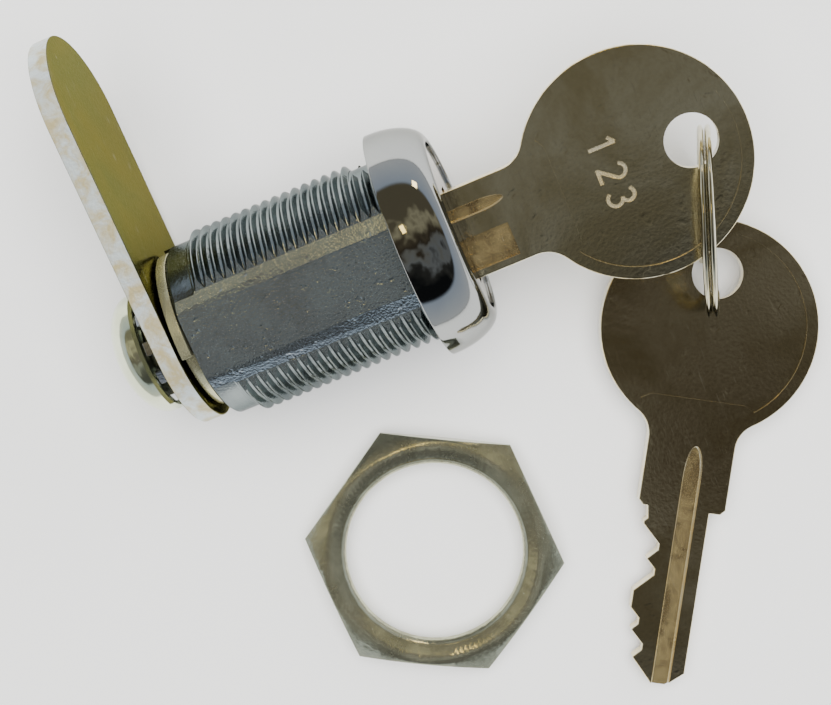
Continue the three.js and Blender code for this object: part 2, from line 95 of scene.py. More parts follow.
class Bench:
    """The workbench: every mesh here is started, shaped and finished with Blender's operators."""

    @staticmethod
    def _only(piece: bpy.types.Object) -> None:
        """Selects one piece and makes it the active one."""
        bpy.ops.object.select_all(action="DESELECT")
        piece.select_set(True)
        bpy.context.view_layer.objects.active = piece

    @staticmethod
    def chain(name: str, points: Sequence[Vector]) -> bpy.types.Object:
        """Draws a chain of edges by extruding one vertex from point to point.

        Args:
            name: The new object's name.
            points: The chain's points, in order.

        Returns:
            The object, in edit mode, with the whole chain selected.
        """
        bpy.ops.object.select_all(action="DESELECT")
        bpy.ops.mesh.primitive_plane_add(size=0.1, location=points[0])
        piece = bpy.context.active_object
        piece.name = piece.data.name = name
        bpy.ops.object.mode_set(mode="EDIT")
        bpy.ops.mesh.select_mode(type="VERT")
        bpy.ops.mesh.merge(type="CENTER")
        for before, after in zip(points, points[1:]):
            step = tuple(after - before)
            bpy.ops.mesh.extrude_region_move(TRANSFORM_OT_translate={"value": step})
        bpy.ops.mesh.select_all(action="SELECT")
        return piece

    @staticmethod
    def _close(piece: bpy.types.Object) -> None:
        """Merges doubles, turns the faces outwards, applies the place and leaves edit mode."""
        bpy.ops.mesh.select_all(action="SELECT")
        bpy.ops.mesh.remove_doubles(threshold=0.0005)
        bpy.ops.mesh.normals_make_consistent(inside=False)
        bpy.ops.object.mode_set(mode="OBJECT")
        Bench._only(piece)
        bpy.ops.object.transform_apply(location=True, rotation=True, scale=True)

    @staticmethod
    def turned(name: str, profile: Sequence[Point], steps: int = 96) -> bpy.types.Object:
        """Turns a closed profile about the Y axis.

        Args:
            name: The new object's name.
            profile: Points as (radius, y). It is closed back to its first point.
            steps: How many steps go round the axis.

        Returns:
            The turned solid.
        """
        points = [Vector((radius, y, 0)) for radius, y in [*profile, profile[0]]]
        piece = Bench.chain(name, points)
        bpy.ops.mesh.remove_doubles(threshold=0.0005)
        bpy.ops.mesh.select_all(action="SELECT")
        bpy.ops.mesh.spin(steps=steps, angle=2 * math.pi, center=(0, 0, 0), axis=(0, 1, 0))
        bpy.ops.mesh.select_all(action="SELECT")
        bpy.ops.mesh.remove_doubles(threshold=0.0005)
        bpy.ops.mesh.dissolve_degenerate(threshold=0.0002)
        Bench._close(piece)
        return piece

    @staticmethod
    def _drawn_out(
        name: str, points: Sequence[Vector], step: tuple[float, float, float]
    ) -> bpy.types.Object:
        """Fills a closed chain of points and draws the face out by a step."""
        piece = Bench.chain(name, points)
        bpy.ops.mesh.edge_face_add()
        bpy.ops.mesh.extrude_region_move(TRANSFORM_OT_translate={"value": step})
        Bench._close(piece)
        return piece

    @staticmethod
    def plate(name: str, outline: Sequence[Point], low: float, high: float) -> bpy.types.Object:
        """Gives a flat outline its thickness.

        Args:
            name: The new object's name.
            outline: Points as (x, y), in order round the shape.
            low: The height of the lower face.
            high: The height of the upper face.

        Returns:
            The plate, flat in X and Y.
        """
        points = [Vector((x, y, low)) for x, y in outline]
        return Bench._drawn_out(name, points, (0, 0, high - low))

    @staticmethod
    def slice(name: str, outline: Sequence[Point], front: float, back: float) -> bpy.types.Object:
        """Gives an outline drawn across the lock's axis its thickness along that axis.

        Args:
            name: The new object's name.
            outline: Points as (x, z), in order round the shape.
            front: The Y of the front face.
            back: The Y of the back face.

        Returns:
            The slice.
        """
        points = [Vector((x, front, z)) for x, z in outline]
        return Bench._drawn_out(name, points, (0, back - front, 0))

    @staticmethod
    def _modify(piece: bpy.types.Object, kind: str, **settings: object) -> None:
        """Adds a modifier to a piece, sets its properties and applies it."""
        Bench._only(piece)
        bpy.ops.object.modifier_add(type=kind)
        work = piece.modifiers[-1]
        for name, value in settings.items():
            setattr(work, name, value)
        bpy.ops.object.modifier_apply(modifier=work.name)

    @staticmethod
    def coiled(
        name: str, radius: float, wire: Point, rise: float, turns: float, sides: int = 20,
        steps: int = 110,
    ) -> bpy.types.Object:
        """Winds wire about the Z axis, from the middle of its length.

        Args:
            name: The new object's name.
            radius: The radius of the wire's middle line.
            wire: Half the wire's width across the coil and along it.
            rise: How far the coil climbs in all.
            turns: How many turns it makes.
            sides: How many points go round the wire.
            steps: How many steps make one turn.

        Returns:
            The coil, with both ends closed.
        """
        bpy.ops.object.select_all(action="DESELECT")
        bpy.ops.mesh.primitive_circle_add(
            vertices=sides, radius=1, location=(radius, 0, -rise / 2), rotation=(math.pi / 2, 0, 0))
        coil = bpy.context.active_object
        coil.name = coil.data.name = name
        coil.scale = (*wire, 1)
        bpy.ops.object.transform_apply(location=True, rotation=True, scale=True)
        steps_in_all = int(turns * steps)
        Bench._modify(
            coil, "SCREW", angle=2 * math.pi * turns, screw_offset=rise, steps=steps_in_all,
            render_steps=steps_in_all, axis="Z")
        bpy.ops.object.mode_set(mode="EDIT")
        bpy.ops.mesh.select_all(action="DESELECT")
        bpy.ops.mesh.select_mode(type="EDGE")
        bpy.ops.mesh.select_non_manifold()
        bpy.ops.mesh.edge_face_add()
        bpy.ops.mesh.select_all(action="SELECT")
        bpy.ops.mesh.normals_make_consistent(inside=False)
        bpy.ops.object.mode_set(mode="OBJECT")
        return coil

    @staticmethod
    def combine(
        piece: bpy.types.Object, tools: Iterable[bpy.types.Object], operation: str = "DIFFERENCE"
    ) -> bpy.types.Object:
        """Cuts, joins or keeps the overlap with each tool in turn, then throws the tools away.

        Args:
            piece: The piece that is worked on.
            tools: The pieces that shape it.
            operation: Blender's name for the operation.

        Returns:
            The same piece.
        """
        for tool in tools:
            Bench._modify(piece, "BOOLEAN", operation=operation, solver="EXACT", object=tool)
            Bench._only(tool)
            bpy.ops.object.delete()
        return piece

    @staticmethod
    def soften(piece: bpy.types.Object, width: float, angle: float = 35, segments: int = 2) -> None:
        """Breaks the sharp edges of a piece.

        Args:
            piece: The piece.
            width: The width of the broken edge.
            angle: Edges sharper than this many degrees are broken.
            segments: How many strips make the rounding.
        """
        Bench._modify(
            piece, "BEVEL", width=width, segments=segments, limit_method="ANGLE",
            angle_limit=math.radians(angle), harden_normals=False, use_clamp_overlap=True)

    @staticmethod
    def finish(piece: bpy.types.Object, place: Matrix, smooth_angle: float = 30) -> None:
        """Sets a piece in its place, in metres, and smooths its gentle edges.

        Args:
            piece: The piece, made in millimetres about its own origin.
            place: Where it lies, in millimetres.
            smooth_angle: Edges flatter than this many degrees are shaded smooth.
        """
        Bench._only(piece)
        piece.matrix_world = Matrix.Scale(MM, 4) @ place
        bpy.ops.object.transform_apply(location=True, rotation=True, scale=True)
        bpy.ops.object.shade_smooth_by_angle(angle=math.radians(smooth_angle))
        Bench._modify(piece, "WEIGHTED_NORMAL", weight=100, keep_sharp=True)
        piece.select_set(False)


def arc(centre: Point, radius: float, start: float, end: float, steps: int) -> list[Point]:
    """Points along an arc.

    Args:
        centre: The arc's centre.
        radius: Its radius.
        start: The first angle, in degrees.
        end: The last angle, in degrees.
        steps: How many equal steps lie between them.

    Returns:
        The points, with both ends.
    """
    points = []
    for i in range(steps + 1):
        angle = math.radians(start + (end - start) * i / steps)
        points.append((centre[0] + radius * math.cos(angle), centre[1] + radius * math.sin(angle)))
    return points


def rectangle(x0: float, y0: float, x1: float, y1: float) -> list[Point]:
    """The four corners of a rectangle."""
    return [(x0, y0), (x1, y0), (x1, y1), (x0, y1)]


# ---------------------------------------------------------------- shared effects


class Wiring:
    """Adds and joins the nodes of one tree."""

    def __init__(self, tree: bpy.types.NodeTree) -> None:
        """Keeps the tree that the nodes go in."""
        self.tree = tree

    def add(self, kind: str, **settings: object) -> bpy.types.Node:
        """Adds a node and sets its properties."""
        node = self.tree.nodes.new(kind)
        for name, value in settings.items():
            setattr(node, name, value)
        return node

    def join(self, source: bpy.types.NodeSocket, target: bpy.types.NodeSocket) -> None:
        """Joins an output to an input."""
        self.tree.links.new(source, target)

    def feed(self, value: object, target: bpy.types.NodeSocket) -> None:
        """Joins a socket to an input, or sets the input to a plain value."""
        if isinstance(value, bpy.types.NodeSocket):
            self.join(value, target)
        else:
            target.default_value = value

    def maths(self, operation: str, a: object, b: object = 0.0) -> bpy.types.NodeSocket:
        """A Math node on two sockets or numbers.

        Args:
            operation: Blender's name for the operation.
            a: The first value, a socket or a number.
            b: The second value, a socket or a number.

        Returns:
            The node's output.
        """
        node = self.add("ShaderNodeMath", operation=operation)
        for slot, value in zip(node.inputs, (a, b)):
            self.feed(value, slot)
        return node.outputs[0]

    def ramp(self, value: bpy.types.NodeSocket, low: float, high: float) -> bpy.types.NodeSocket:
        """A smooth mask that is 0 below `low` and 1 above `high`."""
        node = self.add("ShaderNodeMapRange", interpolation_type="SMOOTHSTEP")
        node.inputs["From Min"].default_value = low
        node.inputs["From Max"].default_value = high
        self.join(value, node.inputs["Value"])
        return node.outputs["Result"]

    def noise(
        self, vector: bpy.types.NodeSocket, scale: object, **inputs: float
    ) -> bpy.types.NodeSocket:
        """Noise on a vector.

        Args:
            vector: The vector, a socket.
            scale: How fine it is, a socket or a number.
            **inputs: The values of the node's other inputs, by name.

        Returns:
            The noise's strength.
        """
        node = self.add("ShaderNodeTexNoise")
        for name, value in inputs.items():
            node.inputs[name].default_value = value
        self.join(vector, node.inputs["Vector"])
        self.feed(scale, node.inputs["Scale"])
        return node.outputs["Fac"]

    def mix(self, share: bpy.types.NodeSocket, a: object, b: object) -> bpy.types.NodeSocket:
        """A mix of two colours, each a socket or a colour, from `a` at 0 to `b` at 1."""
        node = self.add("ShaderNodeMix", data_type="RGBA")
        for slot, value in (("Factor", share), ("A", a), ("B", b)):
            self.feed(value, node.inputs[slot])
        return node.outputs["Result"]


def new_group(
    name: str, inputs: Sequence[tuple[str, str, object]], outputs: Sequence[tuple[str, str]]
) -> tuple[bpy.types.NodeTree, Wiring, bpy.types.Node, bpy.types.Node]:
    """Starts a shader node group.

    Args:
        name: The group's name.
        inputs: For each input, its name, its socket type and its starting value.
        outputs: For each output, its name and its socket type.

    Returns:
        The group, its wiring, its input node and its output node.
    """
    tree = bpy.data.node_groups.new(name, "ShaderNodeTree")
    for label, kind, value in inputs:
        socket = tree.interface.new_socket(label, in_out="INPUT", socket_type=kind)
        if value is not None:
            socket.default_value = value
    for label, kind in outputs:
        tree.interface.new_socket(label, in_out="OUTPUT", socket_type=kind)
    wiring = Wiring(tree)
    return tree, wiring, wiring.add("NodeGroupInput"), wiring.add("NodeGroupOutput")


FLOAT, VECTOR, COLOUR = "NodeSocketFloat", "NodeSocketVector", "NodeSocketColor"


def mottle_group() -> bpy.types.NodeTree:
    """Cloudy change from one plating colour to another, as heat, handling and dye leave it."""
    tree, w, start, end = new_group(
        "mottle",
        [("Vector", VECTOR, None), ("Scale", FLOAT, 100.0), ("Main", COLOUR, None),
         ("Other", COLOUR, None), ("Amount", FLOAT, 0.5)],
        [("Color", COLOUR), ("Mask", FLOAT)],
    )
    cloud = w.noise(
        start.outputs["Vector"], start.outputs["Scale"], Detail=5.0, Roughness=0.62, Distortion=0.6)
    mask = w.ramp(cloud, 0.36, 0.66)
    share = w.maths("MULTIPLY", mask, start.outputs["Amount"])
    w.join(w.mix(share, start.outputs["Main"], start.outputs["Other"]), end.inputs["Color"])
    w.join(mask, end.inputs["Mask"])
    return tree


def grain_group() -> bpy.types.NodeTree:
    """Fine crystals and pits of a plated or cast skin, with a few deeper pits."""
    tree, w, start, end = new_group(
        "grain",
        [("Vector", VECTOR, None), ("Scale", FLOAT, 4000.0), ("Pits", FLOAT, 0.3)],
        [("Height", FLOAT), ("Mask", FLOAT)],
    )
    fine = w.noise(start.outputs["Vector"], start.outputs["Scale"], Detail=3.0, Roughness=0.7)
    crystals = w.add("ShaderNodeTexVoronoi", feature="F1")
    w.join(start.outputs["Vector"], crystals.inputs["Vector"])
    w.join(start.outputs["Scale"], crystals.inputs["Scale"])
    coarse = w.maths("MULTIPLY", start.outputs["Scale"], 0.23)
    pits = w.noise(start.outputs["Vector"], coarse, Detail=2.0)
    pit_depth = w.maths("MULTIPLY", w.ramp(pits, 0.62, 0.72), start.outputs["Pits"])
    skin = w.maths("ADD", fine, w.maths("MULTIPLY", crystals.outputs["Distance"], 0.6))
    w.join(w.maths("SUBTRACT", skin, pit_depth), end.inputs["Height"])
    w.join(w.ramp(fine, 0.38, 0.62), end.inputs["Mask"])
    return tree


def brushing_group() -> bpy.types.NodeTree:
    """Fine lines left by rolling, milling or shearing, along the X of the vector that comes in."""
    tree, w, start, end = new_group(
        "brushing",
        [("Vector", VECTOR, None), ("Scale", FLOAT, 3000.0), ("Length", FLOAT, 25.0)],
        [("Height", FLOAT)],
    )
    parts = w.add("ShaderNodeSeparateXYZ")
    w.join(start.outputs["Vector"], parts.inputs[0])
    stretched = w.add("ShaderNodeCombineXYZ")
    w.join(w.maths("DIVIDE", parts.outputs["X"], start.outputs["Length"]), stretched.inputs["X"])
    w.join(parts.outputs["Y"], stretched.inputs["Y"])
    w.join(parts.outputs["Z"], stretched.inputs["Z"])
    lines = w.noise(stretched.outputs[0], start.outputs["Scale"], Detail=4.0, Roughness=0.75)
    w.join(lines, end.inputs["Height"])
    return tree


def scratch_group() -> bpy.types.NodeTree:
    """Sparse hairline scratches and small knocks from use."""
    tree, w, start, end = new_group(
        "scratches",
        [("Vector", VECTOR, None), ("Scale", FLOAT, 400.0), ("Amount", FLOAT, 0.5)],
        [("Height", FLOAT), ("Mask", FLOAT)],
    )
    total: Optional[bpy.types.NodeSocket] = None
    for angle, stretch in ((0.5, 22.0), (1.9, 30.0), (2.7, 18.0)):
        place = w.add("ShaderNodeMapping")
        place.inputs["Rotation"].default_value = (angle, angle * 0.7, angle)
        place.inputs["Scale"].default_value = (1.0, stretch, 1.0)
        w.join(start.outputs["Vector"], place.inputs["Vector"])
        lines = w.noise(place.outputs[0], start.outputs["Scale"], Detail=1.5)
        mask = w.ramp(lines, 0.70, 0.80)
        total = mask if total is None else w.maths("MAXIMUM", total, mask)
    share = w.maths("MULTIPLY", total, start.outputs["Amount"])
    w.join(share, end.inputs["Mask"])
    w.join(w.maths("MULTIPLY", share, -1.0), end.inputs["Height"])
    return tree


class Effects:
    """The shared node groups, each built once."""

    def __init__(self) -> None:
        """Builds every group."""
        self.mottle = mottle_group()
        self.grain = grain_group()
        self.brushing = brushing_group()
        self.scratches = scratch_group()


# ---------------------------------------------------------------- finishes


class Lay(Enum):
    """Which way the fine lines of a finish run: how far they are turned from X, in degrees.

    The key in the lock lies along the lock's axis. The loose key lies at its own angle.
    """

    LOCK_AXIS = (0.0, 0.0, 90.0)
    LOOSE_KEY = (0.0, 0.0, 149.7)
    FLAT = (0.0, 0.0, 0.0)
    UPRIGHT = (0.0, 90.0, 0.0)


@dataclass(frozen=True)
class MetalFinish:
    """A plated or bare metal surface.

    The main and other colours drift into each other in clouds. Grain is the fine skin, brushing
    the fine lines, and scratches the marks of use.
    """

    name: str
    main: Colour
    other: Colour
    metal: float = 1.0
    edge_tint: Colour = (1.0, 1.0, 1.0)
    cloud_scale: float = 120.0
    cloud_amount: float = 0.6
    rough_low: float = 0.08
    rough_high: float = 0.16
    grain_scale: float = 5000.0
    grain_height: float = 0.02
    pits: float = 0.2
    brush_scale: float = 3000.0
    brush_height: float = 0.0
    lay: Lay = Lay.FLAT
    scratch_amount: float = 0.4
    scratch_tint: Colour = (0.75, 0.74, 0.7)

    def build(self, effects: Effects) -> bpy.types.Material:
        """Makes the material.

        Args:
            effects: The shared node groups.

        Returns:
            The new material.
        """
        material = bpy.data.materials.new(self.name)
        material.use_nodes = True
        w = Wiring(material.node_tree)
        surface = material.node_tree.nodes["Principled BSDF"]
        surface.inputs["Metallic"].default_value = self.metal
        surface.inputs["Specular Tint"].default_value = (*self.edge_tint, 1.0)
        where = w.add("ShaderNodeTexCoord").outputs["Object"]
        turned = w.add("ShaderNodeMapping")
        turned.inputs["Rotation"].default_value = [math.radians(-a) for a in self.lay.value]
        w.join(where, turned.inputs["Vector"])

        clouds = self._group(w, effects.mottle, where, self.cloud_scale)
        clouds.inputs["Main"].default_value = (*self.main, 1.0)
        clouds.inputs["Other"].default_value = (*self.other, 1.0)
        clouds.inputs["Amount"].default_value = self.cloud_amount
        grain = self._group(w, effects.grain, where, self.grain_scale)
        grain.inputs["Pits"].default_value = self.pits
        lines = self._group(w, effects.brushing, turned.outputs[0], self.brush_scale)
        marks = self._group(w, effects.scratches, where, 420.0)
        marks.inputs["Amount"].default_value = self.scratch_amount

        share = w.maths("MULTIPLY", marks.outputs["Mask"], 0.35)
        tint = w.mix(share, clouds.outputs["Color"], (*self.scratch_tint, 1.0))
        w.join(tint, surface.inputs["Base Color"])

        spread = self.rough_high - self.rough_low
        haze = w.maths("ADD", w.maths("MULTIPLY", clouds.outputs["Mask"], 0.55),
                       w.maths("MULTIPLY", grain.outputs["Mask"], 0.45))
        gloss = w.maths("ADD", w.maths("MULTIPLY", haze, spread), self.rough_low)
        scuffed = w.maths("ADD", gloss, w.maths("MULTIPLY", marks.outputs["Mask"], 0.12))
        w.join(scuffed, surface.inputs["Roughness"])

        height = w.maths("MULTIPLY", grain.outputs["Height"], self.grain_height)
        brushed = w.maths("MULTIPLY", lines.outputs["Height"], self.brush_height)
        marked = w.maths("MULTIPLY", marks.outputs["Height"], 0.003)
        relief = w.maths("ADD", w.maths("ADD", height, brushed), marked)
        bump = w.add("ShaderNodeBump")
        bump.inputs["Strength"].default_value = 1.0
        bump.inputs["Distance"].default_value = MM
        w.join(relief, bump.inputs["Height"])
        w.join(bump.outputs[0], surface.inputs["Normal"])
        return material

    @staticmethod
    def _group(
        w: Wiring, tree: bpy.types.NodeTree, where: bpy.types.NodeSocket, scale: float
    ) -> bpy.types.Node:
        """Places a shared effect on a vector, at a scale."""
        node = w.add("ShaderNodeGroup", node_tree=tree)
        w.join(where, node.inputs["Vector"])
        node.inputs["Scale"].default_value = scale
        return node


BEZEL_CHROME = MetalFinish(
    "bezel_chrome", (0.37, 0.38, 0.37), (0.32, 0.33, 0.34), edge_tint=(0.56, 0.56, 0.55),
    rough_low=0.025, rough_high=0.06, grain_height=0.0004, scratch_amount=0.1)
THREAD_CHROME = MetalFinish(
    "thread_chrome", (0.25, 0.28, 0.28), (0.15, 0.17, 0.18), edge_tint=(0.42, 0.44, 0.44),
    cloud_scale=260, rough_low=0.12, rough_high=0.26, grain_scale=3500, grain_height=0.014,
    pits=0.4)
FLAT_CHROME = MetalFinish(
    "flat_chrome", (0.54, 0.62, 0.66), (0.40, 0.43, 0.46), metal=0.97, cloud_scale=150,
    rough_low=0.05, rough_high=0.22, grain_scale=4200, grain_height=0.034, pits=0.8,
    scratch_amount=0.2)
PLUG_CHROME = MetalFinish(
    "plug_chrome", (0.26, 0.21, 0.15), (0.21, 0.18, 0.14), rough_low=0.04, rough_high=0.09,
    grain_height=0.001, scratch_amount=0.5)
CAM_ZINC = MetalFinish(
    "cam_zinc", (0.150, 0.135, 0.070), (0.115, 0.125, 0.070), edge_tint=(0.51, 0.495, 0.35),
    cloud_scale=90, cloud_amount=0.9, rough_low=0.14, rough_high=0.28, grain_scale=2600,
    grain_height=0.010, pits=0.4)
SHEARED_EDGE = MetalFinish(
    "sheared_edge", (0.62, 0.68, 0.68), (0.52, 0.43, 0.20), metal=0.5, cloud_scale=520,
    cloud_amount=0.9, rough_low=0.30, rough_high=0.55, grain_scale=2600, grain_height=0.06,
    pits=0.6, brush_scale=2200, brush_height=0.07, lay=Lay.LOCK_AXIS)
WASHER_ZINC = MetalFinish(
    "washer_zinc", (0.60, 0.58, 0.36), (0.48, 0.46, 0.30), metal=0.85, cloud_scale=300,
    rough_low=0.18, rough_high=0.3, grain_height=0.008)
SCREW_CHROME = MetalFinish(
    "screw_chrome", (0.72, 0.77, 0.58), (0.55, 0.60, 0.40), metal=0.96, cloud_scale=220,
    rough_low=0.05, rough_high=0.11, grain_height=0.002)
KEY_NICKEL = MetalFinish(
    "key_nickel", (0.66, 0.61, 0.44), (0.50, 0.43, 0.25), cloud_scale=75, cloud_amount=0.9,
    rough_low=0.11, rough_high=0.20, grain_scale=2600, grain_height=0.006, pits=1.0,
    brush_scale=1800, brush_height=0.002, lay=Lay.LOCK_AXIS, scratch_amount=0.6)
# Bright gold finish of the keys' sides and bevels: partly the bare cut metal, partly a painted highlight
# along the rims. The stamped digit floors get it too, as a painted highlight.
KEY_EDGE_AND_HIGHLIGHT = MetalFinish(
    "key_edge_and_highlight", (0.84, 0.78, 0.58), (0.88, 0.68, 0.28), metal=0.8, cloud_scale=260,
    rough_low=0.14, rough_high=0.28, grain_height=0.006, brush_scale=2600, brush_height=0.006,
    lay=Lay.UPRIGHT)
MILLED_GROOVE = MetalFinish(
    "milled_groove", (0.80, 0.63, 0.31), (0.36, 0.27, 0.14), metal=0.92, cloud_scale=380,
    cloud_amount=1.0, rough_low=0.14, rough_high=0.3, grain_height=0.002, brush_scale=2400,
    brush_height=0.05, lay=Lay.LOCK_AXIS)
# A darker copy of the key finish for the loose key, which is of the same metal: painted shade.
SHADED_LOOSE_KEY_NICKEL = replace(
    KEY_NICKEL, name="shaded_loose_key_nickel", main=(0.53, 0.47, 0.33), other=(0.33, 0.27, 0.15),
    lay=Lay.LOOSE_KEY)
LOOSE_KEY_GROOVE = replace(MILLED_GROOVE, name="loose_key_groove", lay=Lay.LOOSE_KEY)
RING_STEEL = MetalFinish(
    "ring_steel", (0.56, 0.53, 0.40), (0.42, 0.38, 0.26), cloud_scale=300, rough_low=0.08,
    rough_high=0.16, grain_height=0.002)
NUT_ZINC = MetalFinish(
    "nut_zinc", (0.52, 0.52, 0.38), (0.34, 0.34, 0.24), metal=0.92, cloud_scale=240,
    cloud_amount=0.8, rough_low=0.14, rough_high=0.28, grain_scale=2200, grain_height=0.014,
    pits=0.6)
BRASS = MetalFinish(
    "stamped_brass", (0.62, 0.46, 0.20), (0.50, 0.37, 0.17), rough_low=0.2, rough_high=0.34,
    brush_scale=2600, brush_height=0.003)
SPRING_STEEL = MetalFinish(
    "spring_steel", (0.48, 0.49, 0.50), (0.40, 0.40, 0.40), rough_low=0.16, rough_high=0.28)


class Paint:
    """Builds each finish once and puts it on pieces."""

    def __init__(self) -> None:
        """Starts with no materials built."""
        self.effects = Effects()
        self.made: dict[str, bpy.types.Material] = {}

    def material(self, finish: MetalFinish) -> bpy.types.Material:
        """The material of a finish."""
        if finish.name not in self.made:
            self.made[finish.name] = finish.build(self.effects)
        return self.made[finish.name]

    def dress(self, piece: bpy.types.Object, *finishes: MetalFinish) -> None:
        """Gives a piece its materials, in place of any it has."""
        piece.data.materials.clear()
        for finish in finishes:
            piece.data.materials.append(self.material(finish))


@dataclass(frozen=True)
class Piece:
    """A finished piece: what it stands for and what it moves with."""

    mesh: bpy.types.Object
    node: str
    body: str
    slot: str

    def hand_over(self) -> None:
        """Ties the piece to the frame and reports it."""
        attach(self.mesh, self.body)
        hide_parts(self.node)
        LOG.info("%s: %d faces, rides on %s, %.2f mm off its part's box", self.node,
                 len(self.mesh.data.polygons), self.body, self.box_difference())

    def box_difference(self) -> float:
        """The most that any side of the piece's box differs from its part's box, in mm."""
        low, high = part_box(self.node)
        difference = 0.0
        for axis in range(3):
            places = [vertex.co[axis] for vertex in self.mesh.data.vertices]
            difference = max(difference, abs(min(places) - low[axis]), abs(max(places) - high[axis]))
        return difference / MM


# ---------------------------------------------------------------- the lock


@dataclass
class Housing:
    """The die-cast bezel and the threaded barrel with two flats."""

    bezel_radius: float = 11.38
    lip_radius: float = 8.9
    bezel_height: float = 5.3
    recess_radius: float = 8.6
    recess_depth: float = 2.1
    bore_radius: float = 6.6
    barrel_length: float = 21.9
    tail_radius: float = 8.8
    thread_radius: float = 9.5
    thread_depth: float = 0.62
    thread_pitch: float = 25.4 / 24
    thread_start: float = 0.4
    thread_turns: int = 18
    wafer_groove_radius: float = 7.5
    wafer_groove_middle: float = 15.95
    wafer_groove_half: float = 0.8
    tumbler_groove_radius: float = 7.3
    tumbler_groove_half: float = 3.1
    relief_angle: float = 22.7
    rim_outer: float = 8.75
    rim_inner: float = 7.65
    rim_start: float = 187.0
    rim_end: float = 353.0
    flat_outline: list[Point] = field(default_factory=lambda: [
        (-11, 7.5), (-4.7, 7.5), (-3.2, 8.0), (3.2, 8.0), (4.7, 7.5), (11, 7.5), (11, 12), (-11, 12),
    ])

    def bezel_profile(self) -> list[Point]:
        """The bezel from its recess over the lip and the dome to the rear rim."""
        lip = self.lip_radius
        front = -self.bezel_height
        points: list[Point] = [
            (self.bore_radius, front + self.recess_depth),
            (self.recess_radius, front + self.recess_depth),
            (self.recess_radius, front + 0.12),
            (self.recess_radius + 0.1, front),
        ]
        for i in range(17):
            angle = math.radians(90 * i / 16)
            radius = lip + (self.bezel_radius - lip) * math.sin(angle)
            points.append((radius, -0.2 + (front + 0.2) * math.cos(angle)))
        points += [(self.bezel_radius, -0.06), (self.bezel_radius - 0.06, 0.0)]
        return points

    def thread_profile(self) -> list[Point]:
        """The ridges of the thread, with narrow rounded crests and roots."""
        pitch = self.thread_pitch
        crest = self.thread_radius
        root = crest - self.thread_depth
        points: list[Point] = [(root, 0.0)]
        for turn in range(self.thread_turns):
            y = self.thread_start + turn * pitch
            points += [
                (root, y + 0.08 * pitch), (root + 0.03, y + 0.14 * pitch),
                (crest - 0.06, y + 0.42 * pitch), (crest, y + 0.48 * pitch),
                (crest, y + 0.52 * pitch), (crest - 0.06, y + 0.58 * pitch),
                (root + 0.03, y + 0.86 * pitch), (root, y + 0.92 * pitch),
            ]
        end = self.thread_start + self.thread_turns * pitch
        points += [(root, end + 0.05), (self.tail_radius, end + 0.2)]
        tail = self.barrel_length
        points += [(self.tail_radius, tail - 0.25), (self.tail_radius - 0.25, tail)]
        return points

    @staticmethod
    def on_flat(face: bpy.types.MeshPolygon) -> bool:
        """Whether a face of the barrel lies on one of its two flats."""
        across, height = abs(face.center.x), abs(face.center.z)
        return abs(face.normal.z) > 0.9 and 7.3 < height < 8.1 and across < 6.2

    def make(self, paint: Paint) -> Piece:
        """Builds and dresses the housing."""
        profile = self.bezel_profile() + self.thread_profile()
        bore, deep = self.bore_radius, self.wafer_groove_radius
        rear = self.wafer_groove_middle + self.wafer_groove_half
        front = self.wafer_groove_middle - self.wafer_groove_half
        profile += [(bore, self.barrel_length), (bore, rear), (deep, rear), (deep, front), (bore, front)]
        body = Bench.turned("housing_casting", profile, 128)
        upper = Bench.slice("upper_flat", self.flat_outline, 0.0, self.barrel_length + 1)
        lower_outline = [(x, -z) for x, z in self.flat_outline]
        lower = Bench.slice("lower_flat", lower_outline, 0.0, self.barrel_length + 1)
        turn = self.relief_angle
        relief = arc((0, 0), 8.8, -turn, turn, 24) + arc((0, 0), 11, turn, -turn, 24)
        Bench.combine(body, [upper, lower, Bench.slice("thread_relief", relief, 0.0, 2.6)])
        half = math.degrees(math.asin(self.tumbler_groove_half / self.tumbler_groove_radius))
        for middle in (180.0, 0.0, 90.0, -90.0):
            groove = arc((0, 0), self.tumbler_groove_radius, middle - half, middle + half, 8)
            groove += arc((0, 0), 6.3, middle + half, middle - half, 8)
            Bench.combine(body, [Bench.slice("tumbler_groove", groove, -0.9, 11.9)])
        rim = arc((0, 0), self.rim_outer, self.rim_start, self.rim_end, 48)
        rim += arc((0, 0), self.rim_inner, self.rim_end, self.rim_start, 48)
        rim_body = Bench.slice("stop_rim", rim, self.barrel_length - 0.4, self.barrel_length + 0.9)
        below = Bench.slice("rim_trim", rectangle(-12, -12, 12, -8.0), 20, 24)
        Bench.combine(body, [Bench.combine(rim_body, [below])], "UNION")
        Bench.soften(body, 0.07, 42)
        paint.dress(body, BEZEL_CHROME, THREAD_CHROME, FLAT_CHROME)
        for face in body.data.polygons:
            if face.center.y > 0.02:
                face.material_index = 2 if self.on_flat(face) else 1
        Bench.finish(body, LOCK_PLACE, 15)
        return Piece(body, "housing", "housing", "housing")


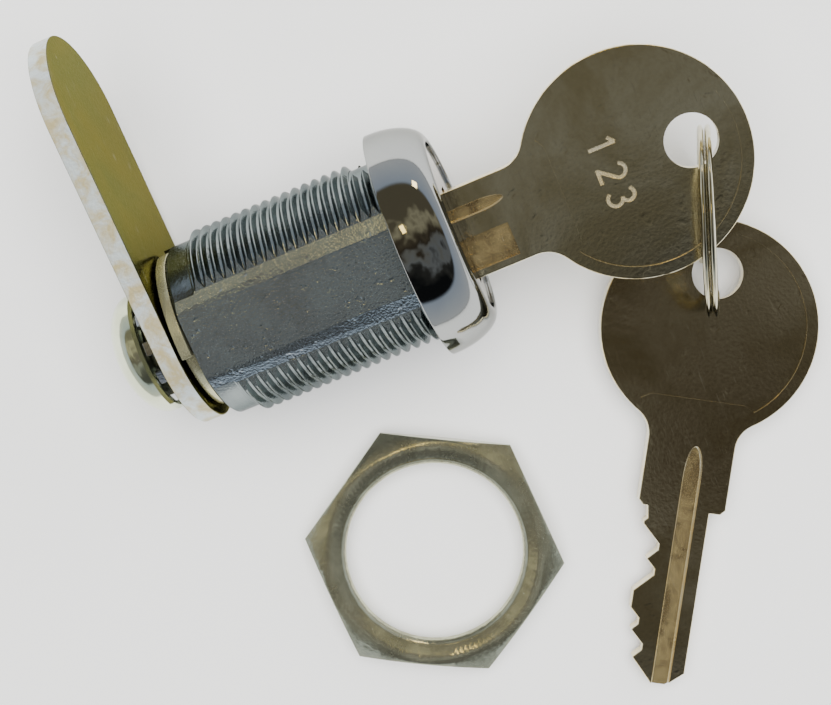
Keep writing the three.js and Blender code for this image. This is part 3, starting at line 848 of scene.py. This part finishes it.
@dataclass
class Plug:
    """The turning cylinder: front face, keyway and square stud."""

    head_radius: float = 8.35
    head_front: float = -5.0
    head_back: float = -3.3
    body_radius: float = 6.4
    length: float = 21.75
    stud: float = 8.0
    stud_end: float = 25.2
    key_offset: float = -0.95
    key_slot_half: float = 1.25
    mouth_half: float = 4.9
    keyway_end: float = 14.8
    hole_radius: float = 3.15
    tumblers: int = 5
    tumbler_first: float = 0.2
    tumbler_pitch: float = 2.65
    tumbler_half: float = 0.65

    def make(self, paint: Paint) -> Piece:
        """Builds and dresses the plug."""
        front, back = self.head_front, self.head_back
        body = Bench.turned("plug_cylinder", [
            (0, front), (self.head_radius - 0.2, front), (self.head_radius, front + 0.2),
            (self.head_radius, back), (self.body_radius, back), (self.body_radius, self.length),
            (0, self.length),
        ], 128)
        half = self.stud / 2
        stud = Bench.slice("stud", rectangle(-half, -half, half, half), self.length - 1, self.stud_end)
        Bench.combine(body, [stud], "UNION")
        x, thin, wide = self.key_offset, self.key_slot_half, self.mouth_half
        mouth = Bench.slice("mouth", rectangle(x - wide, -thin, x + wide, thin), front - 1, front + 1.3)
        keyway_outline = rectangle(x - 3.95, -thin, x + 3.3, thin)
        keyway = Bench.slice("keyway", keyway_outline, front - 1, self.keyway_end)
        hole_end = self.stud_end + 1
        hole = Bench.turned("screw_hole", [
            (0, 17), (self.hole_radius, 18), (self.hole_radius, hole_end), (0, hole_end)], 48)
        pocket = Bench.slice("wafer_pocket", rectangle(-2.75, -8.4, 2.75, -0.6), 15.3, 16.6)
        cuts = [mouth, keyway, hole, pocket]
        for i in range(self.tumblers):
            y = self.tumbler_first + self.tumbler_pitch * i
            for name, outline in (("tumbler_slot", rectangle(-7.4, -2.8, 7.4, 2.8)),
                                  ("spring_pocket", rectangle(-3.4, 0, 2.2, 4.3))):
                cuts.append(Bench.slice(name, outline, y - self.tumbler_half, y + self.tumbler_half))
        Bench.combine(body, cuts)
        middle = x + 2.05
        ward_outline = rectangle(middle - 0.32, 0.8, middle + 0.32, 1.45)
        ward = Bench.slice("ward", ward_outline, front + 1.5, -0.45)
        Bench.combine(body, [ward], "UNION")
        Bench.soften(body, 0.06, 50)
        paint.dress(body, PLUG_CHROME)
        Bench.finish(body, LOCK_PLACE)
        return Piece(body, "plug", "plug_and_cam", "plug")


@dataclass
class CamStack:
    """The stop washer, the cam, the toothed washer and the screw on the plug's stud."""

    square: float = 8.6
    cam_front: float = 23.4
    cam_thickness: float = 2.0
    cam_half_width: float = 8.4
    cam_reach: float = 31.7
    lug_radius: float = 8.45
    washer_radius: float = 7.35
    teeth: int = 12
    tooth_root: float = 4.7
    tooth_tip: float = 5.95
    seat: float = 27.1
    head_radius: float = 6.15
    head_top: float = 31.1
    screw_end: float = 18.4
    screw_core: float = 2.45
    screw_crest: float = 2.85
    screw_pitch: float = 0.8
    recess_half: float = 0.55
    recess_reach: float = 2.7

    def _square_hole(self, front: float, back: float) -> bpy.types.Object:
        """The tool that cuts the square hole for the stud."""
        half = self.square / 2
        return Bench.slice("square_hole", rectangle(-half, -half, half, half), front, back)

    def stop_washer(self, paint: Paint) -> Piece:
        """The washer whose lug stops the plug's turn."""
        outline = arc((0, 0), self.lug_radius, -5, 95, 40)
        outline += arc((0, 0), self.washer_radius, 95, 355, 90)
        washer = Bench.slice("stop_washer_ring", outline, 22.1, 23.1)
        Bench.combine(washer, [self._square_hole(21, 25)])
        Bench.soften(washer, 0.12, 40, 3)
        paint.dress(washer, WASHER_ZINC)
        Bench.finish(washer, LOCK_PLACE)
        return Piece(washer, "stop_washer", "plug_and_cam", "stop_washer")

    def cam(self, paint: Paint) -> Piece:
        """The flat bar, round at both ends, sheared at its edge."""
        half = self.cam_half_width
        tip = (self.cam_reach - half, 0.0)
        outline = arc((0, 0), half, 90, 270, 64) + arc(tip, half, -90, 90, 64)
        back = self.cam_front + self.cam_thickness
        bar = Bench.slice("cam_bar", outline, self.cam_front, back)
        Bench.combine(bar, [self._square_hole(self.cam_front - 1, back + 1)])
        Bench.soften(bar, 0.14, 40, 3)
        paint.dress(bar, CAM_ZINC, SHEARED_EDGE)
        for face in bar.data.polygons:
            if abs(face.normal.y) < 0.5:
                face.material_index = 1
        Bench.finish(bar, LOCK_PLACE)
        return Piece(bar, "cam", "plug_and_cam", "cam")

    def lock_washer(self, paint: Paint) -> Piece:
        """The toothed washer under the screw's head."""
        outline: list[Point] = []
        root, tip = self.tooth_root, self.tooth_tip
        for tooth in range(self.teeth):
            for part, radius in ((0.0, root), (0.3, root), (0.38, tip), (0.82, tip), (0.9, root)):
                angle = math.radians((tooth + part) * 30)
                outline.append((radius * math.cos(angle), radius * math.sin(angle)))
        washer = Bench.slice("toothed_washer", outline, 25.7, 26.8)
        bore = Bench.turned("washer_bore", [(0, 25), (3.3, 25), (3.3, 28), (0, 28)], 48)
        Bench.combine(washer, [bore])
        Bench.soften(washer, 0.08, 40)
        paint.dress(washer, SPRING_STEEL)
        Bench.finish(washer, LOCK_PLACE)
        return Piece(washer, "lock_washer", "plug_and_cam", "lock_washer")

    def screw(self, paint: Paint) -> Piece:
        """The pan-head screw with its cross recess."""
        seat, top, radius = self.seat, self.head_top, self.head_radius
        core, crest, y = self.screw_core, self.screw_crest, self.screw_end
        profile: list[Point] = [(0, y), (core, y)]
        while y < seat - 1.0:
            profile += [(core, y + 0.1), (crest, y + 0.35), (crest, y + 0.42), (core, y + 0.68)]
            y += self.screw_pitch
        profile += [(crest, seat - 0.3), (crest, seat), (radius - 0.3, seat), (radius, seat + 0.3),
                    (radius, seat + 0.8)]
        for i in range(1, 20):
            angle = math.radians(90 * i / 20)
            rise = (top - seat - 0.8) * math.sin(angle)
            profile.append((radius * math.cos(angle), seat + 0.8 + rise))
        profile.append((0, top))
        body = Bench.turned("screw_body", profile, 96)
        half, reach = self.recess_half, self.recess_reach
        for across, along in ((reach, half), (half, reach)):
            outline = rectangle(-across, -along, across, along)
            Bench.combine(body, [Bench.slice("recess", outline, top - 1.7, top + 1)])
        Bench.soften(body, 0.08, 50)
        paint.dress(body, SCREW_CHROME)
        Bench.finish(body, LOCK_PLACE)
        return Piece(body, "cam_screw", "plug_and_cam", "cam_screw")

    def make(self, paint: Paint) -> list[Piece]:
        """Builds the whole stack."""
        return [self.stop_washer(paint), self.cam(paint), self.lock_washer(paint), self.screw(paint)]


@dataclass
class Internals:
    """The disc tumblers, the springs and the retaining wafer inside the plug."""

    tumblers: int = 5
    spring_y: float = 15.95
    spring_bottom: float = -2.55
    spring_top: float = -0.75
    spring_radius: float = 0.4
    spring_wire: float = 0.1
    spring_turns: float = 4.0
    pressed_share: float = 0.6

    def retaining_spring(self, paint: Paint) -> Piece:
        """The small spring behind the wafer."""
        wire = (self.spring_wire, self.spring_wire)
        rise = self.spring_top - self.spring_bottom - 2 * self.spring_wire
        coil = Bench.coiled(
            "retaining_spring_coil", self.spring_radius, wire, rise, self.spring_turns, 10, 32)
        paint.dress(coil, SPRING_STEEL)
        middle = (self.spring_top + self.spring_bottom) / 2
        Bench.finish(coil, LOCK_PLACE @ Matrix.Translation((0, self.spring_y, middle)), 45)
        return Piece(coil, "retaining_spring", "plug_and_cam", "springs")

    def shorten(self, spring: bpy.types.Object) -> None:
        """Gives the spring a mesh of its own."""
        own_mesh(spring)

    def dress(self, nodes: dict[str, bpy.types.Object], paint: Paint) -> None:
        """Puts finishes on the pieces that are hidden in the plug.

        Args:
            nodes: The frame's pieces by name.
            paint: The finishes.
        """
        for i in range(1, self.tumblers + 1):
            paint.dress(nodes[f"disc_tumbler_{i}"], BRASS)
            paint.dress(nodes[f"tumbler_spring_{i}"], SPRING_STEEL)
        paint.dress(nodes["retaining_wafer"], BRASS)
        LOG.info("internals: dressed %d pieces", 2 * self.tumblers + 1)


# ---------------------------------------------------------------- the nut


@dataclass
class PanelNut:
    """The thin hexagon nut with chamfered corners and a countersunk threaded bore."""

    across_flats: float = 23.4
    thickness: float = 3.0
    turn: float = 32.4
    bore_root: float = 9.65
    bore_crest: float = 9.15
    sink_radius: float = 10.6
    pitch: float = 25.4 / 24

    def make(self, paint: Paint) -> Piece:
        """Builds and dresses the nut."""
        half = self.across_flats / 2
        corner = half / math.cos(math.radians(30))
        outline = arc((0, 0), corner, self.turn + 30, self.turn + 330, 5)
        body = Bench.plate("nut_hexagon", outline, 0, self.thickness)
        top = self.thickness
        drop = (corner - half + 0.3) * math.tan(math.radians(30))
        chamfer = Bench.turned("nut_chamfer", [
            (0, 0), (half - 0.3, 0), (corner + 0.01, drop), (corner + 0.01, top - drop),
            (half - 0.3, top), (0, top),
        ], 128)
        bore = Bench.turned("nut_bore", self.bore_profile(), 128)
        upright = turn_deg(90, 0, 0)
        for tool in (chamfer, bore):
            tool.matrix_world = upright
        Bench.combine(body, [chamfer], "INTERSECT")
        Bench.combine(body, [bore])
        Bench.soften(body, 0.1, 38)
        paint.dress(body, NUT_ZINC)
        Bench.finish(body, NUT_PLACE)
        return Piece(body, "panel_nut", "panel_nut", "panel_nut")

    def bore_profile(self) -> list[Point]:
        """The threaded bore and its countersinks, as the tool that cuts them."""
        top = self.thickness
        rim = self.sink_radius
        points: list[Point] = [(0, -1), (rim + 0.6, -1), (rim + 0.6, -0.2), (rim, 0.0)]
        points.append((self.bore_root, 0.55))
        y = 0.55
        while y + self.pitch / 2 < top - 0.5:
            points += [(self.bore_crest + 0.05, y + 0.44 * self.pitch),
                       (self.bore_crest, y + 0.5 * self.pitch),
                       (self.bore_root, y + 0.95 * self.pitch)]
            y += self.pitch
        points += [(self.bore_root, top - 0.5), (rim, top), (rim + 0.6, top + 0.2),
                   (rim + 0.6, top + 1), (0, top + 1)]
        return points


# ---------------------------------------------------------------- keys and ring


@dataclass
class Key:
    """A flat key: round bow with a coined disc, short shank and notched, grooved blade."""

    thickness: float = 2.0
    bow: float = 11.1
    fillet: float = 3.0
    shank: float = 4.5
    shoulder: float = 18.95
    blade_back: float = 2.9
    tip: float = 37.4
    cut_first: float = 23.1
    cut_pitch: float = 2.65
    cuts: tuple[float, ...] = (1.75, 1.8, 3.65, 2.65, 1.9)
    hole_radius: float = 2.6
    hole_y: float = -5.55
    coin_depth: float = 0.25
    stamp_depth: float = 0.13
    pen: float = 0.19
    digit_y: float = 2.4

    def bitting(self) -> list[Point]:
        """The notched edge from the shoulder to the tip."""
        limit, flat = 3.65, 0.3
        points: list[Point] = [(-3.5, self.shoulder)]
        height, y = 3.3, self.shoulder + 1
        for i, depth in enumerate(self.cuts):
            middle = self.cut_first + i * self.cut_pitch
            gap = middle - y - 2 * flat
            climb = min((gap + depth - height) / 2, limit - height)
            fall = height + climb - depth
            points.append((-height, y + flat))
            if climb > 0.01:
                points.append((-height - climb, y + flat + climb))
            if middle - flat - fall > y + flat + climb + 0.01:
                points.append((-height - climb, middle - flat - fall))
            points.append((-depth, middle - flat))
            height, y = depth, middle
        points += [(-height, y + flat), (-height - 0.85, y + flat + 0.85), (-0.4, self.tip)]
        return points

    def outline(self) -> list[Point]:
        """The key seen from its upper side, its notches towards -X."""
        side = self.shank + self.fillet
        along = math.sqrt((self.bow + self.fillet) ** 2 - side**2)
        meet = math.degrees(math.atan2(along, side))
        points = arc((0, 0), self.bow, 180 - meet, 360 + meet, 150)
        points += arc((side, along), self.fillet, 180 + meet, 180, 12)[1:]
        points += [(self.shank, self.shoulder - 0.5), (self.shank - 0.5, self.shoulder)]
        points += [(self.blade_back, self.shoulder), (self.blade_back, self.tip - 1.5), (1.1, self.tip)]
        points += list(reversed(self.bitting()))
        points += [(-self.shank + 0.5, self.shoulder), (-self.shank, self.shoulder - 0.5)]
        points += arc((-side, along), self.fillet, 0, -meet, 12)[:-1]
        return points

    def coin(self, low: float, high: float) -> bpy.types.Object:
        """The tool that sinks the bow's disc, cut off straight towards the shank."""
        start = math.degrees(math.acos(5.8 / 9.9))
        points = arc((0, 0), 9.9, 180 - start, 360 + start, 110) + [(4.8, 7.45), (-4.8, 7.45)]
        return Bench.plate("coin", points, low, high)

    def groove(
        self, x: float, half: float, start: float, low: float, high: float, taper: float
    ) -> bpy.types.Object:
        """The tool that mills a groove open at the tip.

        Args:
            x: The groove's middle.
            half: Half its width.
            start: Where it starts along the key.
            low: The tool's lower face.
            high: The tool's upper face.
            taper: How far the groove takes to reach its full width.

        Returns:
            The tool.
        """
        points = []
        for i in range(17):
            angle = math.radians(180 + 180 * i / 16)
            points.append((x + half * math.cos(angle), start + taper * (1 + math.sin(angle))))
        points += [(x + half, self.tip + 1), (x - half, self.tip + 1)]
        tool = Bench.plate("groove", points, low, high)
        Bench.soften(tool, half * 0.5, 60, 3)
        return tool

    def stroke(self, line: Sequence[Point], x: float) -> bpy.types.Object:
        """The tool for one stroke of a stamped digit.

        Args:
            line: The stroke's middle line, upright about the digit's own middle.
            x: Where the digit's middle lies across the key.

        Returns:
            The tool.
        """
        left: list[Point] = []
        right: list[Point] = []
        for i, (px, py) in enumerate(line):
            before, after = line[max(i - 1, 0)], line[min(i + 1, len(line) - 1)]
            way = Vector((after[0] - before[0], after[1] - before[1])).normalized()
            side = (-way.y * self.pen, way.x * self.pen)
            left.append((x - px - side[0], self.digit_y - py - side[1]))
            right.append((x - px + side[0], self.digit_y - py + side[1]))
        floor = self.thickness / 2 - self.coin_depth - self.stamp_depth
        return Bench.plate("stroke", left + right[::-1], floor, self.thickness / 2 + 0.3)

    def digits(self) -> list[bpy.types.Object]:
        """The tools that stamp the plain number 123 into the bow."""
        one = [[(0, -1.35), (0, 1.35)], [(0.05, 1.3), (-0.62, 0.72)]]
        bowl = arc((0, 0.64), 0.68, 165, -38, 12)
        two = [bowl, [bowl[-1], (-0.62, -1.28)], [(-0.78, -1.27), (0.76, -1.27)]]
        three = [arc((0, 0.66), 0.62, 150, -85, 12), arc((0, -0.62), 0.71, 88, -150, 13)]
        tools = []
        for strokes, x in ((one, 2.75), (two, 0.05), (three, -2.4)):
            tools += [self.stroke(line, x) for line in strokes]
        return tools

    def blank(self, name: str) -> bpy.types.Object:
        """The cut and milled key about its own origin."""
        half = self.thickness / 2
        body = Bench.plate(name, self.outline(), -half, half)
        hole = Bench.plate("hole", arc((0, self.hole_y), self.hole_radius, 0, 352.5, 47), -3, 3)
        Bench.combine(body, [hole])
        Bench.soften(body, 0.16, 55, 3)
        sunk = half - self.coin_depth
        Bench.combine(body, [self.coin(sunk, 3), self.coin(-3, -sunk)])
        Bench.soften(body, 0.11, 60, 3)
        cuts = [
            self.groove(2.05, 0.62, 12.75, half - 0.5, 3, 2.6),
            Bench.plate("mill", rectangle(-3.75, 13.3, -0.45, self.tip + 1), half - 0.35, 3),
            self.groove(0.55, 0.95, 12.2, -3, -half + 0.6, 3.2),
        ]
        Bench.combine(body, cuts)
        return body

    def make(
        self, paint: Paint, name: str, place: Matrix, flat_finish: MetalFinish,
        groove_finish: MetalFinish,
    ) -> Piece:
        """Builds one key and sets it in its place.

        Args:
            paint: The finishes.
            name: The piece that the key stands for.
            place: Where it lies.
            flat_finish: The finish of its broad faces.
            groove_finish: The finish of its milled grooves.

        Returns:
            The finished key.
        """
        body = self.blank(f"{name}_blank")
        Bench.combine(body, self.digits())
        Bench.soften(body, 0.05, 50)
        paint.dress(body, flat_finish, KEY_EDGE_AND_HIGHLIGHT, groove_finish)
        half = self.thickness / 2
        # The sides and bevels take the bright edge finish, partly cut metal and partly a painted
        # highlight; the stamped digit floors take it as a painted highlight.
        for face in body.data.polygons:
            centre, flat = face.center, abs(face.normal.z)
            stamped_highlight = centre.y < 6 and abs(centre.z) < half - 0.28
            if flat < 0.75 or stamped_highlight:
                face.material_index = 1
            elif centre.y > 12.2 and abs(centre.z) < half - 0.3 and flat > 0.9:
                face.material_index = 2
        Bench.finish(body, place)
        return Piece(body, name, name, "keys")


@dataclass
class SplitRing:
    """Two turns of flattened wire."""

    radius: float = 8.9
    half_radial: float = 0.55
    half_axial: float = 0.31
    pitch: float = 0.72
    turns: float = 1.92
    phase: float = 245.0

    def make(self, paint: Paint) -> Piece:
        """Builds and dresses the ring."""
        wire = (self.half_radial, self.half_axial)
        ring = Bench.coiled("split_ring_wire", self.radius, wire, self.pitch * self.turns, self.turns)
        paint.dress(ring, RING_STEEL)
        Bench.finish(ring, RING_PLACE @ turn_deg(0, 0, self.phase), 45)
        return Piece(ring, "key_ring", "key_ring", "key_ring")


# ---------------------------------------------------------------- studio


@dataclass(frozen=True)
class SoftLamp:
    """One soft lamp of the studio."""

    name: str
    place: tuple[float, float, float]
    size: tuple[float, float]
    watts: float
    colour: Colour = (1.0, 1.0, 1.0)
    mirrored: bool = False

    def add(self, target: Vector) -> None:
        """Hangs the lamp and points it at a place."""
        data = bpy.data.lights.new(self.name, "AREA")
        data.shape = "RECTANGLE"
        data.size, data.size_y = self.size
        data.energy = self.watts
        data.color = self.colour
        lamp = bpy.data.objects.new(self.name, data)
        bpy.context.scene.collection.objects.link(lamp)
        lamp.location = self.place
        lamp.visible_glossy = self.mirrored
        lamp.rotation_euler = (target - lamp.location).to_track_quat("-Z", "Y").to_euler()


@dataclass
class Studio:
    """The pale floor, the surrounding light and the camera."""

    lens: float = 69.34
    camera_place: tuple[float, float, float] = (0.00556, 0.00221, 0.166585)
    view_way: tuple[float, float, float] = (-0.0330, 0.0248, -0.9991)
    right_way: tuple[float, float, float] = (-0.3798, -0.9250, -0.0104)
    lamps: tuple[SoftLamp, ...] = (
        SoftLamp("sky_panel", (0.1, 0.0, 1.2), (1.6, 1.6), 46.0),
        SoftLamp("side_window", (0.3, -0.7, 0.45), (0.6, 0.4), 2.0, (0.93, 0.97, 1.0)),
        SoftLamp("warm_lamp", (0.17, 0.02, 0.62), (0.05, 0.09), 0.10, (1.0, 0.72, 0.22), True),
        SoftLamp("low_warm_lamp", (0.5, -0.35, 0.32), (0.08, 0.08), 0.22, (1.0, 0.76, 0.34), True),
    )

    def floor(self) -> None:
        """Lays the pale floor."""
        bpy.ops.object.select_all(action="DESELECT")
        bpy.ops.mesh.primitive_plane_add(size=6, location=(0, 0, 0))
        floor = bpy.context.active_object
        floor.name = "pale_floor"
        material = bpy.data.materials.new("pale_floor")
        material.use_nodes = True
        surface = material.node_tree.nodes["Principled BSDF"]
        surface.inputs["Base Color"].default_value = (0.93, 0.93, 0.92, 1)
        surface.inputs["Roughness"].default_value = 0.9
        floor.data.materials.append(material)

    def surroundings(self) -> None:
        """Sets the soft light of the room: bright low down, dim and warm overhead."""
        world = bpy.data.worlds.new("studio")
        bpy.context.scene.world = world
        world.use_nodes = True
        w = Wiring(world.node_tree)
        background = world.node_tree.nodes["Background"]
        where = w.add("ShaderNodeTexCoord").outputs["Generated"]
        parts = w.add("ShaderNodeSeparateXYZ")
        w.join(where, parts.inputs[0])
        clutter = w.noise(where, 3.2, Detail=2.0)
        side = w.maths("ADD", w.maths("MULTIPLY", parts.outputs["X"], 0.9), 0.12)
        spread = w.maths("MULTIPLY", clutter, 0.96)
        room = self._ramp(w, w.maths("ADD", side, spread), (
            (0.0, (0.012, 0.013, 0.014)), (0.22, (0.05, 0.05, 0.045)), (0.32, (0.22, 0.23, 0.23)),
            (0.44, (0.21, 0.21, 0.19)), (0.54, (0.06, 0.048, 0.032)), (0.66, (0.11, 0.092, 0.06)),
            (0.84, (0.46, 0.42, 0.27)), (1.0, (0.16, 0.14, 0.09))))
        low = self._ramp(w, parts.outputs["Z"], (
            (0.0, (0.80, 0.82, 0.84)), (0.30, (0.62, 0.68, 0.76)), (0.5, (0.50, 0.58, 0.70))))
        light = w.mix(w.ramp(parts.outputs["Z"], 0.44, 0.52), low, room)
        w.join(light, background.inputs["Color"])
        background.inputs["Strength"].default_value = 1.0

    @staticmethod
    def _ramp(
        w: Wiring, value: bpy.types.NodeSocket, stops: Sequence[tuple[float, Colour]]
    ) -> bpy.types.NodeSocket:
        """A colour ramp on a value, with the given stops."""
        ramp = w.add("ShaderNodeValToRGB")
        while len(ramp.color_ramp.elements) < len(stops):
            ramp.color_ramp.elements.new(0.5)
        for element, (spot, colour) in zip(ramp.color_ramp.elements, stops):
            element.position = spot
            element.color = (*colour, 1)
        w.join(value, ramp.inputs[0])
        return ramp.outputs[0]

    def camera(self) -> None:
        """Sets up the camera over the lock."""
        data = bpy.data.cameras.new("camera")
        data.lens = self.lens
        data.sensor_width = 36
        data.clip_start, data.clip_end = 0.005, 20
        camera = bpy.data.objects.new("camera", data)
        bpy.context.scene.collection.objects.link(camera)
        back = -Vector(self.view_way).normalized()
        right = Vector(self.right_way)
        right = (right - back * right.dot(back)).normalized()
        up = back.cross(right)
        turn = Matrix((right, up, back)).transposed().to_4x4()
        camera.matrix_world = Matrix.Translation(self.camera_place) @ turn
        bpy.context.scene.camera = camera

    def build(self) -> None:
        """Builds the whole studio."""
        self.floor()
        self.surroundings()
        for lamp in self.lamps:
            lamp.add(Vector((0, 0, 0.01)))
        self.camera()


def main() -> None:
    """Builds the lock, the nut, the keys and the ring, and lights them."""
    logging.basicConfig(level=logging.INFO, format="%(message)s")
    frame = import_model()
    paint = Paint()
    Studio().build()
    key = Key()
    internals = Internals()
    pieces = [
        Housing().make(paint),
        Plug().make(paint),
        *CamStack().make(paint),
        PanelNut().make(paint),
        key.make(paint, "key_in_lock", KEY_IN_LOCK_PLACE, KEY_NICKEL, MILLED_GROOVE),
        key.make(paint, "loose_key", LOOSE_KEY_PLACE, SHADED_LOOSE_KEY_NICKEL, LOOSE_KEY_GROOVE),
        SplitRing().make(paint),
    ]
    spring = internals.retaining_spring(paint)
    for piece in [*pieces, spring]:
        piece.hand_over()
    internals.shorten(spring.mesh)
    internals.dress(frame["nodes"], paint)
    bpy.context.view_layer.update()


if __name__ == "__main__":
    main()
